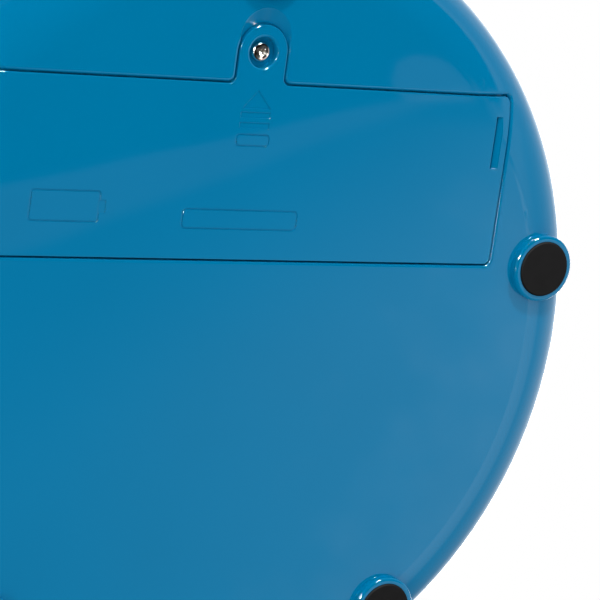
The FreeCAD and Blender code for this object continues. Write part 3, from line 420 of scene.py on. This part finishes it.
# ---------------------------------------------------------------- stage
def camera_turn():
    """The direction from the object to the camera, and the camera's rotation."""
    azimuth, elevation = math.radians(CAMERA_AZIMUTH), math.radians(CAMERA_ELEVATION)
    back = Vector((math.sin(azimuth) * math.cos(elevation),
                   -math.cos(azimuth) * math.cos(elevation), math.sin(elevation)))
    roll = Quaternion((0.0, 0.0, 1.0), math.radians(CAMERA_ROLL))
    return back, (-back).to_track_quat("-Z", "Y") @ roll


class Formula:
    """A value in a node tree that can be combined with others by ordinary arithmetic."""

    def __init__(self, tree, socket):
        self.tree = tree
        self.socket = socket

    def math(self, operation, other=None):
        node = self.tree.nodes.new("ShaderNodeMath")
        node.operation = operation
        self.tree.links.new(self.socket, node.inputs[0])
        if isinstance(other, Formula):
            self.tree.links.new(other.socket, node.inputs[1])
        elif other is not None:
            node.inputs[1].default_value = other
        return Formula(self.tree, node.outputs[0])

    def __add__(self, other):
        return self.math("ADD", other)

    def __sub__(self, other):
        return self.math("SUBTRACT", other)

    def __mul__(self, other):
        return self.math("MULTIPLY", other)

    def __truediv__(self, other):
        return self.math("DIVIDE", other)

    def ramp(self, start, end, low=0.0, high=1.0):
        """Eases from low to high as the value goes from start to end."""
        node = self.tree.nodes.new("ShaderNodeMapRange")
        node.interpolation_type = "SMOOTHSTEP"
        self.tree.links.new(self.socket, node.inputs["Value"])
        node.inputs["From Min"].default_value = start
        node.inputs["From Max"].default_value = end
        node.inputs["To Min"].default_value = low
        node.inputs["To Max"].default_value = high
        return Formula(self.tree, node.outputs["Result"])


def dot_with(tree, socket, direction):
    node = tree.nodes.new("ShaderNodeVectorMath")
    node.operation = "DOT_PRODUCT"
    node.inputs[1].default_value = direction
    tree.links.new(socket, node.inputs[0])
    return Formula(tree, node.outputs["Value"])


def mirrored_place(tree, direction):
    """Where in the picture the flat underside shows a direction of the room.

    Across and up go from -1 to 1 over the picture, and near falls to 0 well outside it.
    """
    back, turn = camera_turn()
    mirror = Vector((1.0, 1.0, -1.0))
    right = (turn @ Vector((1.0, 0.0, 0.0))) * mirror
    top = (turn @ Vector((0.0, 1.0, 0.0))) * mirror
    ahead = (-back) * mirror
    half_view = SENSOR_MM / 2.0 / LENS_MM
    depth = dot_with(tree, direction, ahead).math("MAXIMUM", 0.05) * half_view
    across = dot_with(tree, direction, right) / depth
    up = dot_with(tree, direction, top) / depth
    near = dot_with(tree, direction, ahead).ramp(0.86, 0.95)
    return across, up, near


def edge_noise(tree, direction):
    """Noise round 0 that makes the reflections' edges uneven."""
    noise = tree.nodes.new("ShaderNodeTexNoise")
    noise.inputs["Scale"].default_value = 60.0
    tree.links.new(direction, noise.inputs["Vector"])
    return Formula(tree, noise.outputs["Fac"]) - 0.5


def strip_and_sheet(across, up):
    """A slanting strip of light, a darker streak under it, and a sheet below the streak."""
    under_strip_edge = across * STRIP_SLOPE - up
    under_streak_edge = across * STREAK_SLOPE - up
    streak = under_streak_edge.ramp(*STREAK_EDGE, 1.0, STREAK_DIM)
    strip = under_strip_edge.ramp(*STRIP_EDGE) * streak * STRIP_GLOW
    depth_in_sheet = across * 0.43 - up * 0.90
    below_tab = (across * 0.10 + up).ramp(0.60, 0.70, 1.0, 0.0)
    sheet = depth_in_sheet.ramp(*SHEET_FADE) * across.ramp(-1.2, 1.1, *SHEET_GLOW) * below_tab
    return strip + sheet


def small_patch(across, up, ragged):
    """A ragged oval patch of light with a straight lower edge."""
    off_x = (across + up * PATCH_SLANT - PATCH_PLACE[0]) / PATCH_SIZE[0]
    off_y = (up - PATCH_PLACE[1]) / PATCH_SIZE[1]
    off_centre = off_x * off_x + off_y * off_y + ragged * 1.4
    return off_centre.ramp(1.0, 0.85) * up.ramp(*PATCH_FOOT) * PATCH_GLOW


def rim_and_overhead(tree, direction, ragged):
    """The horizon's glow, which the rounded rim mirrors, and the light overhead.

    The glow is strongest away from the camera. It starts higher away from the display, and is
    weaker towards the display.
    """
    lean = dot_with(tree, direction, FRONT_SIDE).ramp(0.05, 0.60) * 0.45
    height = dot_with(tree, direction, UPWARDS) - lean + ragged * 0.06
    band = height.ramp(-0.815, -0.78) * height.ramp(-0.62, -0.76) * BAND_GLOW
    glow = height.ramp(-0.62, 0.20, *HORIZON_GLOW) * height.ramp(-0.79, -0.765)
    far_side = dot_with(tree, direction, FAR_SIDE).ramp(-0.35, 0.55, 0.12, 1.0)
    display_side = dot_with(tree, direction, DISPLAY_SIDE).ramp(0.30, 0.70, 1.0, 0.15)
    rim = (band + glow) * far_side * display_side
    overhead = height.ramp(0.05, 0.5) * OVERHEAD_GLOW
    return rim + overhead


def reflection_cards(tree, direction):
    """Brightness of the room as the glossy plastic mirrors it."""
    across, up, near = mirrored_place(tree, direction)
    ragged = edge_noise(tree, direction)
    on_the_flat = (strip_and_sheet(across, up) + small_patch(across, up, ragged)) * near
    return on_the_flat + rim_and_overhead(tree, direction, ragged)


def white_world():
    """White to the camera, an even soft light to matt surfaces, and cards to glossy ones."""
    world = bpy.data.worlds.new("studio")
    bpy.context.scene.world = world
    world.cycles.sampling_method = "NONE"
    world.use_nodes = True
    tree = world.node_tree
    tree.nodes.clear()
    output = tree.nodes.new("ShaderNodeOutputWorld")
    coordinates = tree.nodes.new("ShaderNodeTexCoord")
    path = tree.nodes.new("ShaderNodeLightPath")
    shaders = {}
    for name, colour in (("seen", (1.0, 1.0, 1.0)), ("soft", (1.0, 1.0, 1.0)),
                         ("cards", (0.97, 0.99, 1.0))):
        shaders[name] = tree.nodes.new("ShaderNodeBackground")
        shaders[name].inputs["Color"].default_value = (*colour, 1.0)
    height = dot_with(tree, coordinates.outputs["Generated"], UPWARDS)
    tree.links.new(height.ramp(-0.3, 0.3, SOFT_BELOW, SOFT_ABOVE).socket,
                   shaders["soft"].inputs["Strength"])
    cards = reflection_cards(tree, coordinates.outputs["Generated"])
    tree.links.new(cards.socket, shaders["cards"].inputs["Strength"])
    glossy_mix = tree.nodes.new("ShaderNodeMixShader")
    camera_mix = tree.nodes.new("ShaderNodeMixShader")
    tree.links.new(path.outputs["Is Glossy Ray"], glossy_mix.inputs["Fac"])
    tree.links.new(shaders["soft"].outputs["Background"], glossy_mix.inputs[1])
    tree.links.new(shaders["cards"].outputs["Background"], glossy_mix.inputs[2])
    tree.links.new(path.outputs["Is Camera Ray"], camera_mix.inputs["Fac"])
    tree.links.new(glossy_mix.outputs["Shader"], camera_mix.inputs[1])
    tree.links.new(shaders["seen"].outputs["Background"], camera_mix.inputs[2])
    tree.links.new(camera_mix.outputs["Shader"], output.inputs["Surface"])


def floor_plane():
    """Pale floor seen only from above, so that it doesn't hide the underside."""
    mesh = bpy.data.meshes.new("floor")
    r = FLOOR_REACH
    mesh.from_pydata([(-r, -r, 0), (r, -r, 0), (r, r, 0), (-r, r, 0)], [], [(0, 1, 2, 3)])
    floor = bpy.data.objects.new("floor", mesh)
    bpy.context.scene.collection.objects.link(floor)
    material, tree, shader = new_material("floor")
    shader.inputs["Base Color"].default_value = (*FLOOR_GREY, 1.0)
    shader.inputs["Roughness"].default_value = 0.8
    geometry = tree.nodes.new("ShaderNodeNewGeometry")
    clear = tree.nodes.new("ShaderNodeBsdfTransparent")
    mix = tree.nodes.new("ShaderNodeMixShader")
    output = tree.nodes["Material Output"]
    tree.links.new(geometry.outputs["Backfacing"], mix.inputs["Fac"])
    tree.links.new(shader.outputs["BSDF"], mix.inputs[1])
    tree.links.new(clear.outputs["BSDF"], mix.inputs[2])
    tree.links.new(mix.outputs["Shader"], output.inputs["Surface"])
    mesh.materials.append(material)
    floor.visible_diffuse = False
    floor.visible_glossy = False
    floor.visible_transmission = False
    floor.visible_shadow = False


def softbox(name, place, size_x, size_y, power):
    """Area lamp that faces the body's middle and isn't seen itself."""
    light = bpy.data.lights.new(name, "AREA")
    light.shape = "RECTANGLE"
    light.size = size_x
    light.size_y = size_y
    light.energy = power
    lamp = bpy.data.objects.new(name, light)
    bpy.context.scene.collection.objects.link(lamp)
    turn = (LAMP_AIM - place).normalized().to_track_quat("-Z", "Y")
    lamp.matrix_world = Matrix.Translation(place) @ turn.to_matrix().to_4x4()
    lamp.visible_camera = False
    return lamp


def low_place(direction):
    """Place of a lamp below the floor's level."""
    return LAMP_AIM + Vector(direction) * LOW_LAMP_DISTANCE


def glint(name, direction, power):
    """Small bright lamp that only shows as a sparkle on rounded glossy edges."""
    lamp = softbox(name, low_place(direction), *GLINT_SIZE, power)
    lamp.visible_diffuse = False


def studio_lights():
    """Lights below the floor's level serve the underside, and the others the top and sides."""
    glint("glint_up", (0.12, -0.88, -0.42), 170.0)
    glint("glint_left", (-0.75, -0.34, -0.53), 120.0)
    softbox("under_top", low_place((0.10, -0.89, -0.42)), 0.30, 0.20, 18.0)
    softbox("under_left", low_place((-0.83, 0.20, -0.50)), 0.25, 0.25, 4.0)
    softbox("top_key", Vector((-1.6, -1.8, 2.6)), 1.6, 1.6, 60.0)
    softbox("top_fill", Vector((2.2, 0.8, 2.2)), 1.4, 1.4, 25.0)
    softbox("back_rim", Vector((0.3, 2.6, 1.6)), 1.6, 0.8, 20.0)


def place_camera():
    data = bpy.data.cameras.new("camera")
    data.lens = LENS_MM
    data.sensor_width = SENSOR_MM
    data.clip_start = 0.01
    data.clip_end = 50.0
    camera = bpy.data.objects.new("camera", data)
    bpy.context.scene.collection.objects.link(camera)
    back, turn = camera_turn()
    camera.rotation_mode = "QUATERNION"
    camera.location = LOOK_AT + back * CAMERA_DISTANCE
    camera.rotation_quaternion = turn
    bpy.context.scene.camera = camera


def main():
    materials = make_materials()
    dress_nodes(materials)
    display_digits(materials)
    white_world()
    floor_plane()
    studio_lights()
    place_camera()
    bpy.context.scene.view_settings.view_transform = "Standard"


main()
